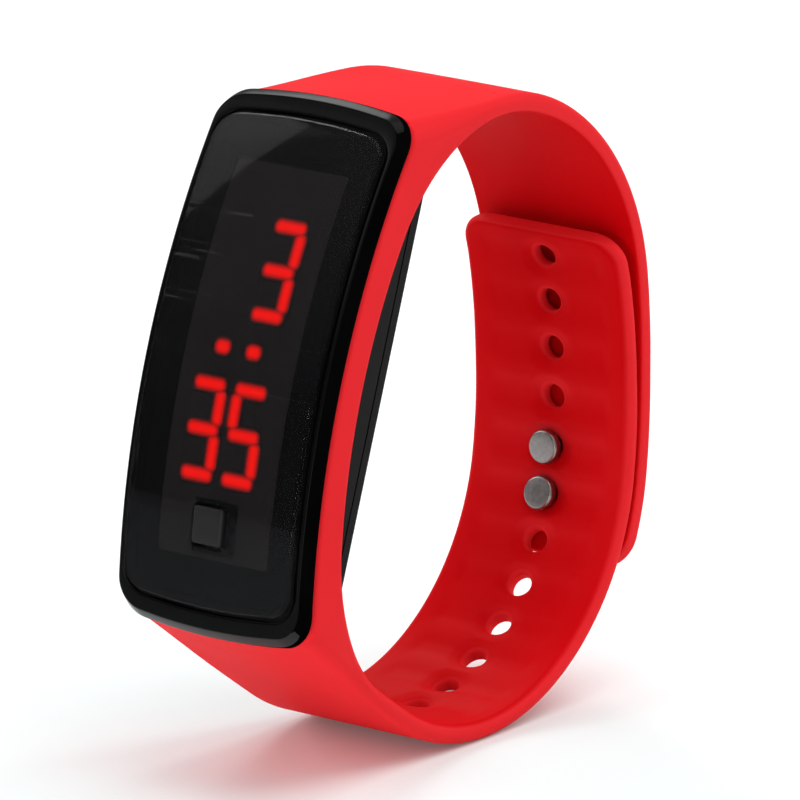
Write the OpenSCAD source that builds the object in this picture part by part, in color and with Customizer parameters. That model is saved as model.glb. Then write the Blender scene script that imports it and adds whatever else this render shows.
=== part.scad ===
// Slim fitness watch: a bowed black case held in a one-piece silicone band,
// whose outer tail carries two studs that snap through holes in the inner end.
// It stands on the lowest point of its closed band, the dial facing -Y and leaning back.

/* [Case] */
// Width of the case across the wrist band
case_w = 22.6; // [21.6:0.2:24]
// Length of the case along the band
case_l = 52.4; // [50:0.2:54]
// Thickness of the case from the middle of the dial to the back
case_t = 11.4; // [11:0.1:12.4]
// Radius of the bowed front, which is the lens's own
front_r = 88; // [80:1:96]
// Radius of the bulged short ends
end_r = 65; // [52:1:80]
// Corner radius of the bezel seen from the front
corner_r = 3.4; // [2.6:0.1:4.2]
// How far the dial leans back from upright, in degrees
lean = 19.2; // [17:0.2:21]
// Depth of the bezel's rear edge below the lens
bezel_d = 2.35; // [2.2:0.05:2.6]
// Width of the back housing across the band
housing_w = 19; // [18.4:0.1:19.6]
// Length of the back housing
housing_l = 47; // [46:0.5:48]
// Wall of the back housing
housing_wall = 1; // [0.7:0.1:1.1]
// Thickness of the screwed back cover
cover_t = 1; // [0.9:0.1:1.4]

/* [Lens and display] */
// Width of the lens
lens_w = 20.2; // [19.6:0.1:20.6]
// Length of the lens
lens_l = 47.3; // [46.5:0.1:48]
// Thickness of the lens
lens_t = 1; // [0.9:0.05:1.1]
// How far the lens stands out of the bezel
lens_rise = 0.6; // [0.3:0.05:0.7]
// Width of the display window
window_w = 13.4; // [13:0.1:14]
// Length of the display window
window_l = 38; // [37:0.5:39]
// Height of one digit
digit_h = 9.6; // [8:0.2:10]
// Width of one digit
digit_w = 4; // [3.4:0.1:4.2]
// Width of a lit bar
bar_w = 1; // [0.7:0.1:1.2]
// Distance between the two digit columns
column_pitch = 4.9; // [4.6:0.1:5.4]
// Distance between the two digit rows
row_pitch = 15.9; // [15.4:0.1:16.2]
// Height of the display's centre above the middle of the dial
display_v = 1; // [0.6:0.1:1.4]
// Distance of the digits' centre to the right of the middle of the dial
display_u = -0.4; // [-0.8:0.1:0.8]

/* [Button] */
// Side of the square push button
button_w = 3.6; // [3.2:0.1:3.8]
// Distance of the button below the middle of the dial
button_drop = 15.9; // [15.6:0.1:16.2]
// How far the button stands out of the lens
button_proud = 0.25; // [0.1:0.05:0.4]
// Travel of the button
button_travel = 0.35; // [0.2:0.05:0.4]

/* [Band] */
// Width of the band round the wrist
band_w = 19.4; // [18:0.2:21]
// Thickness of the band
band_t = 1.9; // [1.6:0.1:2.2]
// Bend radius of the band at the top of the wrist
top_r = 23.5; // [22.5:0.5:24.5]
// Angle that the top bend turns through
top_turn = 79; // [78:0.5:80]
// Bend radius of the nearly flat back
back_r = 70; // [65:1:75]
// Bend radius at the lower back
heel_r = 24.5; // [23.5:0.5:25.5]
// Angle that the lower back bend turns through
heel_turn = 60; // [58:0.5:62]
// Bend radius under the wrist
sole_r = 23.5; // [22:0.5:25]
// Straight run of the band below the case
lower_run = 19.75; // [18:0.25:21.5]
// Distance between two adjustment holes
hole_pitch = 5.05; // [4.85:0.05:5.25]
// Diameter of an adjustment hole
hole_d = 2.4; // [2:0.1:2.6]
// Number of adjustment holes below the lower stud
holes_below = 6; // [3:1:6]
// Number of adjustment holes above the upper stud
holes_above = 4; // [2:1:4]
// Distance from the tail's tip to the lower stud
tail_past = 6; // [5:0.25:7]
// Distance from the middle of the back's straight run to the upper stud
stud_drop = 8.5; // [8:0.25:9]
// How far the inner end's free tip stands off the tail
tip_lift = 1.2; // [0.6:0.1:1.6]

/* [Clasp] */
// Diameter of a stud's head
head_d = 3.4; // [3:0.1:3.6]
// Thickness of a stud's head
head_t = 1; // [0.7:0.1:1.2]
// Diameter of a stud's post
post_d = 2.1; // [1.6:0.1:2.2]
// Width of the plate that joins the studs
plate_w = 9; // [7:0.5:12]
// Thickness of the plate, let into the tail's outer face
plate_t = 0.8; // [0.5:0.1:1]

/* [Hidden] */
$fn = 72;

RED = [0.85, 0.1, 0.13];
BLACK = [0.05, 0.05, 0.06];

// Clearances: the groove round the lens, the gap round the button, a sliding fit,
// a seam between the band's layers, and under a stud's head
groove = 0.35;
button_gap = 0.2;
slip = 0.05;
layer_gap = 0.15;
head_gap = 0.1;

// Depths below the bowed front, measured along its radius
film_t = 0.2;
lens_under = lens_t;
film_under = lens_under + film_t;
segment_under = film_under + slip;
seal_t = 0.3;

// Flat levels behind the dial, measured from its middle
board_t = 1;
board_front = 5.2;
board_back = board_front + board_t;
cover_in = case_t - cover_t;
cell_t = 3.05;
cell_d = 11.6;
leaf_t = 0.3;
cell_back = cover_in - leaf_t;
cell_front = cell_back - cell_t;
contact_t = 0.25;
frame_gap = 0.1;
back_seal_t = 0.2;
// Beyond this height the housing is solid for its screws
block_v = 19;
rim_back = cover_in - back_seal_t;

bar_gap = 0.1;
flange_w = button_w + 1.2;
ledge = 1.1;
gasket_w = 0.9;
housing_r = 2.6;
inner_w = housing_w - 2 * housing_wall;
inner_l = housing_l - 2 * housing_wall;

// Position of a depth below the bowed front, at a height v on the dial
function level(v, depth) = sqrt(pow(front_r - depth, 2) - v * v) - front_r;
// Side view position [y, z] of a point at height v on the dial and level n out of it
function side(v, n) = [v * sin(lean) - n * cos(lean), v * cos(lean) + n * sin(lean)];

// The band's side line: the tail's inner face over the top, then the lower band's outer face.
// A pose is [y, z, heading], and a run is [length, radius], with radius 0 for straight.
top_heading = -4;
back_turn = -90 - top_heading;
flat_turn = -back_turn - top_turn;
sole_turn = 57.5;
function dir(h) = [cos(h), sin(h)];
function bend(h, r, a) = r * [sin(h) - sin(h - a), cos(h - a) - cos(h)];
function arc_length(r, a) = r * a * PI / 180;
function cross2(a, b) = a[0] * b[1] - a[1] * b[0];

case_top = side(case_l / 2, level(case_l / 2, bezel_d));
case_low = side(-case_l / 2, level(case_l / 2, bezel_d));
line_start = case_top + band_t * [sin(top_heading), -cos(top_heading)];
heel_heading = -90 - flat_turn;
sole_heading = heel_heading - heel_turn;
end_heading = sole_heading - sole_turn;
bends = bend(top_heading, top_r, top_turn) + bend(top_heading - top_turn, back_r, flat_turn)
    + bend(-90, back_r, flat_turn) + bend(heel_heading, heel_r, heel_turn)
    + bend(sole_heading, sole_r, sole_turn) + lower_run * dir(end_heading);
to_close = case_low - line_start - bends;
// The straight runs on top and at the back close the loop
spread = cross2(dir(top_heading), dir(-90));
top_run = cross2(to_close, dir(-90)) / spread;
back_run = cross2(dir(top_heading), to_close) / spread;

RUNS = [
    [top_run, 0],
    [arc_length(top_r, top_turn), top_r],
    [arc_length(back_r, flat_turn), back_r],
    [back_run, 0],
    [arc_length(back_r, flat_turn), back_r],
    [arc_length(heel_r, heel_turn), heel_r],
    [arc_length(sole_r, sole_turn), sole_r],
    [lower_run, 0],
];
function turn(run) = run[1] == 0 ? 0 : run[0] / run[1] * 180 / PI;
function go(p, run) = let (h = p[2] - turn(run), r = run[1])
    r == 0
        ? [p[0] + run[0] * cos(h), p[1] + run[0] * sin(h), h]
        : [p[0] + r * (sin(p[2]) - sin(h)), p[1] + r * (cos(h) - cos(p[2])), h];
POSES = [
    for (i = 0, p = [line_start[0], line_start[1], top_heading]; i <= len(RUNS);
        p = go(p, i < len(RUNS) ? RUNS[i] : [0, 0]), i = i + 1) p
];
MARKS = [
    for (i = 0, s = 0; i <= len(RUNS); s = s + (i < len(RUNS) ? RUNS[i][0] : 0), i = i + 1) s
];
function run_at(s) = max([for (i = [0:len(RUNS) - 1]) if (MARKS[i] <= s) i]);
function at(s) = let (i = run_at(s)) go(POSES[i], [s - MARKS[i], RUNS[i][1]]);

band_end = MARKS[len(RUNS)];
back_mid = (MARKS[3] + MARKS[4]) / 2;
upper_stud = back_mid + stud_drop;
lower_stud = upper_stud + hole_pitch;
tail_end = lower_stud + tail_past;
tip_past = 3.8;
holed_start = upper_stud - holes_above * hole_pitch - tip_past;
hinge_rise = holes_above * hole_pitch + tip_past + 6;
tail_start = upper_stud - hinge_rise;
flex_hole = 1.5;
flex_at = lower_stud + flex_hole * hole_pitch;
tip_r = 3.5;
plate_past = 2.6;
plate_from = upper_stud - plate_past;
plate_to = lower_stud + plate_past;
rim_d = 2 * hole_pitch - hole_d - 1.1;
top_shoulder = 1.6;
low_shoulder = 0.9;

// Inner end of the band: its two faces, measured outward from the side line
inner_out = -layer_gap;
inner_in = -layer_gap - band_t;
lift_run = holes_above * hole_pitch + tip_past;
function lift(s) = tip_lift * pow(max(0, 1 - (s - holed_start) / (lift_run - hole_pitch / 2)), 1.5);

// The rear of the silicone ring round the case
ring_d = 6.4;
ring_r = 63;
ring_centre = side(0, -ring_d - ring_r);

// A fillet from the ring's rear curve to a straight face of the band, which it touches at p
function out_of(h) = [-sin(h), cos(h)];
function fillet_r(p, n) = let (q = p - ring_centre)
    (ring_r * ring_r - q * q) / (2 * (ring_r - q * n));
function arc(c, r, from, to, count) =
    [for (i = [0:count]) c + r * dir(from + (to - from) * i / count)];
function fillet(p, h) = let (
        n = out_of(h),
        r = fillet_r(p, n),
        c = p - r * n,
        q = c - ring_centre,
        start = atan2(n[1], n[0]),
        ahead = atan2(q[1], q[0]) - start,
        swing = ahead - 360 * round(ahead / 360)
    ) concat(
        arc(c, r, start, start + swing * 13 / 14, 13),
        [c + (r + merge) * dir(start + swing)]
    );
function heart(v) = side(v, -ring_d + 1);
function front_corner(v) = side(v, level(v, bezel_d + merge));

// Points along one face of the band, a given distance outward from the side line
step_turn = 3;
function stops(from, to) = [
    for (i = [0:len(RUNS) - 1]) let (a = max(from, MARKS[i]), b = min(to, MARKS[i + 1]))
        if (b - a > 0.001) let (n = max(1, ceil(turn([b - a, RUNS[i][1]]) / step_turn)))
            for (j = [0:n - 1]) a + (b - a) * j / n,
    to,
];
function beside(p, d) = [p[0], p[1]] + d * out_of(p[2]);
function edge(from, to, d) = [for (s = stops(from, to)) beside(at(s), d)];
function back(list) = [for (i = [len(list) - 1:-1:0]) list[i]];

// How far the band's roots reach into the ring where they meet it
merge = 0.3;
top_touch = top_run + 1.2;
low_touch = band_end - 0.7 * lower_run;
root_w = case_w - 2 * slip;
top_taper = 1.5 * top_run;
low_taper = 0.94 * lower_run;
top_profile = concat(
    [front_corner(case_l / 2 - merge)],
    edge(2 * merge, tail_start, band_t),
    back(edge(top_touch, tail_start, 0)),
    fillet(beside(at(top_touch), 0), at(top_touch)[2]),
    [heart(0.36 * case_l)]
);
low_profile = concat(
    [front_corner(-case_l / 2 + merge)],
    back(edge(flex_at, band_end - 2 * merge, inner_out)),
    edge(flex_at, low_touch, inner_in),
    fillet(beside(at(low_touch), inner_in), end_heading),
    [heart(-0.36 * case_l)]
);

// The part's frame: centred on its box, and standing on the lowest point of the band
front_v = min(lens_l / 2, front_r * sin(lean));
front_y = side(-front_v, level(front_v, 0))[0];
back_y = POSES[3][0] + band_t;
mid_y = (front_y + back_y) / 2;
sole_p = POSES[6];
floor_z = sole_p[1] - sole_r * cos(sole_p[2]) - sole_r + layer_gap;

// Puts a piece drawn on the dial (X across, Y up the case, Z out of the dial) in its place
module on_case()
    translate([0, -mid_y, -floor_z]) rotate([90 - lean, 0, 0]) children();

// Puts a piece drawn in side view (X backwards, Y up, Z across the band) in its place
module on_side()
    translate([0, -mid_y, -floor_z]) rotate([90, 0, 90]) children();

// Everything deeper than a given depth below the bowed front
module under_front(depth)
    translate([0, 0, -front_r]) rotate([0, 90, 0])
        cylinder(r = front_r - depth, h = 2 * case_w, center = true, $fn = 360);

// A flat outline cut out of the bowed layer between two depths
module layer(top, under)
    intersection() {
        translate([0, 0, -case_t]) linear_extrude(height = 2 * case_t) children();
        difference() {
            under_front(top);
            under_front(under);
        }
    }

// A flat outline raised between two flat levels behind the dial
module slab(front, back)
    translate([0, 0, -back]) linear_extrude(height = back - front) children();

module rounded(w, l, r) {
    square([w - 2 * r, l], center = true);
    square([w, l - 2 * r], center = true);
    for (x = [-1, 1], y = [-1, 1])
        translate([x * (w / 2 - r), y * (l / 2 - r)]) circle(r = r);
}

// A rounded rectangle with bulged ends
module outline(w, l, r)
    intersection() {
        rounded(w, l, r);
        for (y = [-1, 1]) translate([0, y * (l / 2 - end_r)]) circle(r = end_r);
    }

module case_outline(inset = 0)
    outline(case_w - 2 * inset, case_l - 2 * inset, corner_r - inset);

module lens_outline(grow = 0)
    outline(lens_w + 2 * grow, lens_l + 2 * grow, corner_r - (case_w - lens_w) / 2 + 0.4 + grow);

module housing_outline(inset = 0)
    outline(housing_w - 2 * inset, housing_l - 2 * inset, housing_r - inset);

module button_place()
    translate([0, -button_drop, 0]) children();

// One of the seven bars of a digit: 0 to 2 lie across from the bottom up,
// 3 and 4 stand on the left, 5 and 6 on the right, the lower one first
module bar(i) {
    up = (digit_h - bar_w) / 2;
    if (i < 3)
        translate([0, (i - 1) * up]) rounded(digit_w - bar_w * 0.6, bar_w, bar_w * 0.4);
    else
        translate([(i < 5 ? -1 : 1) * (digit_w - bar_w) / 2, ((i - 3) % 2 - 0.5) * up])
            rounded(bar_w, up - bar_w - 2 * bar_gap, bar_w * 0.4);
}

// The bars that are lit for a digit
function bars_of(digit) =
    digit == 3 ? [0, 1, 2, 5, 6] : digit == 5 ? [0, 1, 2, 4, 5] : [];
// The shown digits as [column, row, digit], with -1 for a blank one
DIGITS = [[-1, 1, -1], [1, 1, 3], [-1, -1, 3], [1, -1, 5]];

module digit_place(d)
    translate([display_u + d[0] * column_pitch / 2, display_v + d[1] * row_pitch / 2]) children();

module lit_shape() {
    for (d = DIGITS, i = bars_of(d[2])) digit_place(d) bar(i);
    for (x = [-1, 1]) translate([display_u + x * 1.85, display_v]) rounded(1.5, 1.1, 0.4);
}

module unlit_shape()
    for (d = DIGITS, i = [0:6])
        if (len([for (b = bars_of(d[2])) if (b == i) b]) == 0) digit_place(d) bar(i);

module front_bezel() color(BLACK) on_case() {
    layer(lens_rise, film_under) difference() {
        case_outline();
        lens_outline(groove);
    }
    layer(film_under, bezel_d) difference() {
        case_outline();
        lens_outline(-ledge);
    }
}

module lens() color([0.06, 0.06, 0.07, 0.6]) on_case()
    layer(0, lens_under) difference() {
        lens_outline();
        button_place() rounded(button_w + 2 * button_gap, button_w + 2 * button_gap, 0.4);
    }

module lens_gasket() color([0.2, 0.2, 0.2]) on_case()
    layer(lens_under, film_under) difference() {
        lens_outline(-0.1);
        lens_outline(-gasket_w - 0.1);
    }

module mask_film() color([0.02, 0.02, 0.02]) on_case()
    layer(lens_under, film_under) difference() {
        lens_outline(-gasket_w - 0.1 - slip);
        rounded(window_w, window_l, 0.3);
    }

module window_film() color([0.12, 0.1, 0.1]) on_case()
    layer(lens_under, film_under) difference() {
        rounded(window_w - 2 * slip, window_l - 2 * slip, 0.3);
        lit_shape();
        unlit_shape();
        button_place() rounded(flange_w + 0.4, flange_w + 0.4, 0.3);
    }

module lit_segments() color([1, 0.05, 0.02]) on_case()
    layer(lens_under + 0.02, segment_under) lit_shape();

module unlit_segments() color([0.15, 0.05, 0.05]) on_case()
    layer(lens_under + 0.02, segment_under) unlit_shape();

display_w = window_w - 0.2;
display_low = -13.4;
display_high = 16.6;

module display_body() color([0.16, 0.16, 0.17]) on_case()
    intersection() {
        under_front(segment_under);
        translate([-display_w / 2, display_low, -board_front])
            cube([display_w, display_high - display_low, board_front]);
    }

pin_rows = [-12.8, 14.4];
pin_d = 0.5;

module pin_places()
    for (v = pin_rows, i = [-2:2]) translate([i * 2.54, v]) children();

module display_pins() color([0.75, 0.75, 0.76]) on_case()
    slab(board_front, board_back + 0.3) pin_places() circle(d = pin_d);

board_w = 16.4;
board_low = -19.8;
board_high = 19.5;

module main_board() color([0.05, 0.35, 0.18]) on_case()
    slab(board_front, board_back) difference() {
        translate([-board_w / 2, board_low]) square([board_w, board_high - board_low]);
        pin_places() circle(d = pin_d + 2 * slip);
    }

// A low dome of resin between the pins and the end of the housing's cavity
chip_v = (pin_rows[1] + block_v) / 2 + 0.1;
chip_r = 3;
chip_h = 0.65;

module chip_blob() color([0.04, 0.04, 0.04]) on_case()
    intersection() {
        translate([0, chip_v, chip_r - chip_h - board_back]) sphere(r = chip_r);
        translate([-chip_r, chip_v - chip_r, -board_back - chip_r]) cube([2 * chip_r, 2 * chip_r, chip_r]);
    }

module crystal_can() color([0.8, 0.8, 0.82]) on_case()
    translate([-2.5, -15.4, -board_back - 0.9]) rotate([0, 90, 0]) {
        cylinder(r = 0.9, h = 5);
        for (y = [-0.35, 0.35]) translate([0, y, 5]) cylinder(r = 0.13, h = 1.4, $fn = 16);
    }

// Small parts on the back of the board: length, width and height
resistor = [1.6, 0.8, 0.45];
resistor_pitch = 3.6;
capacitor = [2, 1.25, 1];
capacitor_u = 6;

module resistors() color([0.1, 0.1, 0.12]) on_case()
    for (i = [-1.5:1.5])
        translate([i * resistor_pitch - resistor[0] / 2, board_low + 1.6, -board_back - resistor[2]])
            cube(resistor);

module capacitors() color([0.6, 0.45, 0.3]) on_case()
    for (x = [-1, 1])
        translate([x * capacitor_u - capacitor[0] / 2, pin_rows[1] + 1, -board_back - capacitor[2]])
            cube(capacitor);

switch_w = 4.5;
switch_top = 4.2;
stem_r = 0.9;
disc_r = 1.4;
disc_t = 0.22;
roof_t = 0.18;
cap_under = switch_top - button_travel - slip;

module tact_switch() color([0.3, 0.3, 0.32]) on_case() button_place() difference() {
    slab(switch_top, board_front) rounded(switch_w, switch_w, 0.4);
    slab(switch_top - 1, switch_top + 0.5) circle(r = stem_r + slip);
    slab(switch_top + roof_t, switch_top + roof_t + disc_t + button_travel + 2 * slip)
        circle(r = disc_r + slip);
}

module switch_plunger() color([0.85, 0.85, 0.8]) on_case() button_place() {
    slab(cap_under, switch_top + roof_t + slip) circle(r = stem_r);
    slab(switch_top + roof_t + slip, switch_top + roof_t + slip + disc_t) circle(r = disc_r);
}

module button_cap() color(BLACK) on_case() {
    intersection() {
        under_front(-button_proud);
        slab(-case_t, cap_under) button_place() rounded(button_w, button_w, 0.3);
    }
    intersection() {
        under_front(lens_under + 0.1);
        slab(0, cap_under) button_place() rounded(flange_w, flange_w, 0.3);
    }
}

cell_mid = 0.2;
cell_gap = 0.4;
cell_v = (cell_d + cell_gap) / 2;
contact_w = 4;
contact_l = 7;
bump_r = 1.2;

module cell_contact(v)
    translate([0, v, 0]) {
        slab(board_back, board_back + contact_t) rounded(contact_w, contact_l, 0.5);
        slab(board_back + contact_t, cell_front) circle(r = bump_r);
    }

module positive_contact() color([0.85, 0.8, 0.6]) on_case() cell_contact(cell_mid + cell_v);

module negative_contact() color([0.85, 0.8, 0.6]) on_case() cell_contact(cell_mid - cell_v);

module bridge_contact() color([0.8, 0.8, 0.82]) on_case()
    slab(cell_back, cover_in) translate([0, cell_mid]) rounded(5, 2 * cell_v + 6, 1);

// A button cell: the wide cup and the narrower cap
module cell(v, cap_front)
    translate([0, v, 0]) {
        cap_t = 0.4;
        slab(cell_front + (cap_front ? cap_t : 0), cell_back - (cap_front ? 0 : cap_t))
            circle(d = cell_d);
        slab(cap_front ? cell_front : cell_back - cap_t, cap_front ? cell_front + cap_t : cell_back)
            circle(d = cell_d - 1.6);
    }

module upper_cell() color([0.82, 0.83, 0.85]) on_case() cell(cell_mid + cell_v, false);

module lower_cell() color([0.82, 0.83, 0.85]) on_case() cell(cell_mid - cell_v, true);

frame_front = board_back + contact_t + frame_gap;
frame_l = 2 * cell_v + cell_d + 1.4;

module battery_frame() color([0.9, 0.9, 0.88]) on_case()
    slab(frame_front, cover_in - slip) translate([0, cell_mid]) difference() {
        rounded(inner_w - 0.4, frame_l, 1);
        for (v = [-1, 1]) translate([0, v * cell_v]) circle(d = cell_d + 0.1);
        square([5.2, cell_gap + 3.6], center = true);
    }

module case_gasket() color([0.15, 0.15, 0.15]) on_case()
    layer(bezel_d, bezel_d + seal_t) difference() {
        housing_outline(0.1);
        housing_outline(housing_wall - 0.1);
    }

screw_u = 5.6;
screw_v = 20.9;
core_d = 1.1;
shaft_d = 1;
head_screw_d = 2.2;
head_screw_t = 0.6;

module screw_places()
    for (x = [-1, 1], y = [-1, 1]) translate([x * screw_u, y * screw_v, 0]) children();

module inner_case() color(BLACK) on_case() difference() {
    intersection() {
        slab(0, rim_back) housing_outline();
        under_front(bezel_d + seal_t);
    }
    slab(-case_t, board_back) housing_outline(housing_wall);
    slab(board_back - 1, rim_back + 1) intersection() {
        housing_outline(housing_wall);
        square([case_w, 2 * block_v], center = true);
    }
    slab(board_back + 0.8, rim_back + 1) screw_places() circle(d = core_d);
}

module back_gasket() color([0.2, 0.2, 0.2]) on_case()
    slab(rim_back, cover_in) difference() {
        housing_outline(0.15);
        housing_outline(housing_wall - 0.1);
    }

module back_cover() color(BLACK) on_case() difference() {
    slab(cover_in, case_t) housing_outline();
    slab(cover_in - 1, case_t + 1) screw_places() circle(d = shaft_d + 0.2);
    slab(case_t - head_screw_t, case_t + 1) screw_places() circle(d = head_screw_d + 0.1);
}

screw_in = 3;

module back_screws() color([0.7, 0.7, 0.72]) on_case() screw_places() difference() {
    union() {
        slab(cover_in - screw_in, case_t - head_screw_t) circle(d = shaft_d);
        slab(case_t - head_screw_t, case_t) circle(d = head_screw_d);
    }
    for (a = [0, 90])
        slab(case_t - 0.35, case_t + 1) rotate(a) square([1.5, 0.35], center = true);
}

// Points along a face of the holed end, whose free tip stands off the tail
function lifted(d) = [for (s = stops(holed_start, flex_at)) beside(at(s), d - lift(s))];

// A length of the band between two distances outward from the side line
module ribbon(from, to, low, high, w)
    linear_extrude(height = w, center = true)
        polygon(concat(edge(from, to, high), back(edge(from, to, low))));

// Places a piece at a distance along the side line: X along it, Y outward, Z across the band
module along(s) {
    p = at(s);
    translate([p[0], p[1]]) rotate(p[2]) children();
}

// A round hole or post square to the band, between two distances outward
module pierce(s, low, high, d)
    along(s) translate([0, low, 0]) rotate([-90, 0, 0]) cylinder(d = d, h = high - low);

// The plan of the band near one end, with that end's corners rounded; ahead is 1 for its far end
module end_plan(s, ahead)
    along(s) translate([-ahead * case_l, -case_l, 0]) rotate([-90, 0, 0])
        linear_extrude(height = 2 * case_l) rounded(2 * case_l, band_w, tip_r);

// Places a piece at the case's end: X away from the case, Y outward, Z across the band
module from_case(top)
    if (top)
        translate(line_start) rotate(top_heading) children();
    else
        translate(case_low) rotate([180, 0, end_heading + 180]) children();

// The plan of the band at the case, which narrows to its full run
module root_plan(taper)
    translate([0, -1.5 * case_l, 0]) rotate([-90, 0, 0]) linear_extrude(height = 3 * case_l)
        polygon([
            [-case_t, root_w / 2], [0, root_w / 2], [taper, band_w / 2], [2 * case_l, band_w / 2],
            [2 * case_l, -band_w / 2], [taper, -band_w / 2], [0, -root_w / 2], [-case_t, -root_w / 2],
        ]);

// What is cut off the band's two outer edges at the case, fading out before the straight run ends
module shoulders(face, taper, run, shoulder) {
    narrowing = run / taper * (root_w - band_w) / 2;
    for (z = [-1, 1])
        translate([run, face, z * (root_w / 2 - narrowing)]) rotate([z * 45, 0, 0])
            rotate(atan((shoulder - narrowing) / (run * sqrt(2))))
                translate([-2 * case_l, 0, -case_t]) cube([3 * case_l, case_t, 2 * case_t]);
}

module strap_sleeve() color(RED) difference() {
    union() {
        on_case() intersection() {
            slab(-case_t, case_t) case_outline();
            under_front(bezel_d);
            ring_front();
        }
        on_side() difference() {
            intersection() {
                linear_extrude(height = case_w + 1, center = true) polygon(top_profile);
                from_case(true) root_plan(top_taper);
            }
            from_case(true) shoulders(band_t, top_taper, 0.8 * top_run, top_shoulder);
        }
        on_side() difference() {
            intersection() {
                linear_extrude(height = case_w + 1, center = true) polygon(low_profile);
                from_case(false) root_plan(low_taper);
            }
            from_case(false) shoulders(inner_out, low_taper, 0.8 * lower_run, low_shoulder);
            for (i = [2:holes_below]) pierce_hole(lower_stud + i * hole_pitch);
        }
    }
    on_case() slab(-case_t, 2 * case_t) housing_outline(-slip);
}

// Everything in front of the ring's rear curve
module ring_front()
    difference() {
        cube([2 * case_w, 2 * case_l, 6 * case_t], center = true);
        translate([0, 0, -ring_d - ring_r]) rotate([0, 90, 0])
            cylinder(r = ring_r, h = 3 * case_w, center = true, $fn = 240);
    }

module pierce_hole(s)
    pierce(s, inner_in - 2, inner_out + 1, hole_d);

module strap_tail() color(RED) on_side() difference() {
    intersection() {
        ribbon(tail_start, tail_end, 0, band_t, band_w + 1);
        end_plan(tail_end, 1);
    }
    ribbon(plate_from - slip, plate_to + slip, band_t - plate_t, band_t + 1, plate_w + 2 * slip);
    for (s = [upper_stud, lower_stud]) pierce(s, -1, band_t, post_d + 2 * slip);
}

module strap_holed_end() color(RED) on_side() difference() {
    intersection() {
        linear_extrude(height = band_w + 1, center = true)
            polygon(concat(lifted(inner_out), back(lifted(inner_in))));
        end_plan(holed_start, -1);
    }
    for (i = [-holes_above:-1]) pierce_hole(upper_stud + i * hole_pitch);
    pierce_hole(lower_stud + hole_pitch);
    rims_shape();
}

// The silicone round the two holes in use, which stretches over the studs' heads
module rims_shape()
    along((upper_stud + lower_stud) / 2) translate([0, inner_in - 1, 0]) rotate([-90, 0, 0])
        linear_extrude(height = band_t + 2)
            rounded(hole_pitch + rim_d, rim_d, rim_d / 2 - 0.3);

module hole_rims() color(RED) on_side() difference() {
    intersection() {
        ribbon(upper_stud - rim_d, lower_stud + rim_d, inner_in, inner_out, band_w);
        rims_shape();
    }
    for (s = [upper_stud, lower_stud]) pierce(s, inner_in - 2, inner_out + 2, hole_d);
}

module clasp_plate() color([0.55, 0.52, 0.52]) on_side() difference() {
    ribbon(plate_from, plate_to, band_t - plate_t, band_t, plate_w);
    for (s = [upper_stud, lower_stud]) pierce(s, 0, band_t + 1, post_d);
}

module clasp_studs() color([0.55, 0.52, 0.52]) on_side()
    for (s = [upper_stud, lower_stud]) {
        pierce(s, inner_in - head_gap, band_t - 0.1, post_d);
        pierce(s, inner_in - head_gap - head_t * 0.7, inner_in - head_gap, head_d);
        pierce(s, inner_in - head_gap - head_t, inner_in - head_gap - head_t * 0.7, head_d - 0.5);
    }

front_bezel();
lens();
lens_gasket();
mask_film();
window_film();
lit_segments();
unlit_segments();
display_body();
display_pins();
main_board();
chip_blob();
crystal_can();
resistors();
capacitors();
tact_switch();
switch_plunger();
button_cap();
positive_contact();
negative_contact();
bridge_contact();
upper_cell();
lower_cell();
battery_frame();
case_gasket();
inner_case();
back_gasket();
back_cover();
back_screws();
strap_sleeve();
strap_tail();
strap_holed_end();
hole_rims();
clasp_plate();
clasp_studs();
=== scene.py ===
import math

import bmesh
import bpy
import numpy as np
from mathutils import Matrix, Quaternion, Vector


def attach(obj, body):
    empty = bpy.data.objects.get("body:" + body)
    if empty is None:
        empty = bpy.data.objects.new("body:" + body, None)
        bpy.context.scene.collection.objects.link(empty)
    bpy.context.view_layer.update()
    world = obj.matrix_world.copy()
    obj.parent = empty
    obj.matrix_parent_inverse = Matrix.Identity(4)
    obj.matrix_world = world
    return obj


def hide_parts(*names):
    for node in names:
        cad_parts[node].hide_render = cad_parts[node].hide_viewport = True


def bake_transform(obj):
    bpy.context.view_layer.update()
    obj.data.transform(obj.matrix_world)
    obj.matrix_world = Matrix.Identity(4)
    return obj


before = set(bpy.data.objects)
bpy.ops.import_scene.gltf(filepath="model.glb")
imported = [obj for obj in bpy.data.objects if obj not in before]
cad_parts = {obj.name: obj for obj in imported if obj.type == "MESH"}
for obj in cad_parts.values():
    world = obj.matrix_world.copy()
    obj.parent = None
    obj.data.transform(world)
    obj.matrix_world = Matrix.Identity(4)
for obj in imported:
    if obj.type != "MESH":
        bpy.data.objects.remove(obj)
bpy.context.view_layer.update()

MM = 0.001

# Sizes in millimetres and degrees, as the part sets them. Its solids leave out the bulge that END_R
# gives the case's short ends
CASE_W, CASE_L, CASE_T = 22.6, 52.4, 11.4
FRONT_R, END_R, CORNER_R = 88.0, 65.0, 3.4
LEAN = math.radians(19.2)
BEZEL_D = 2.35
HOUSING_W, HOUSING_L, HOUSING_R = 19.0, 47.0, 2.6
LENS_W, LENS_L, LENS_T, LENS_RISE = 20.2, 47.3, 1.0, 0.6
LENS_R = CORNER_R - (CASE_W - LENS_W) / 2 + 0.4
CROWN_R, CROWN = 240.0, 0.1
GROOVE, BUTTON_GAP, LEDGE = 0.35, 0.2, 1.1
BUTTON_W, BUTTON_V, BUTTON_PROUD = 3.6, -15.9, 0.25
BAND_W, BAND_T = 19.4, 1.9
LAYER_GAP = 0.15
RING_D, RING_R = 6.4, 63.0
TOP_HEADING, TOP_R, TOP_TURN = -4.0, 23.5, 79.0
BACK_R, HEEL_R, HEEL_TURN = 70.0, 24.5, 60.0
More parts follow.
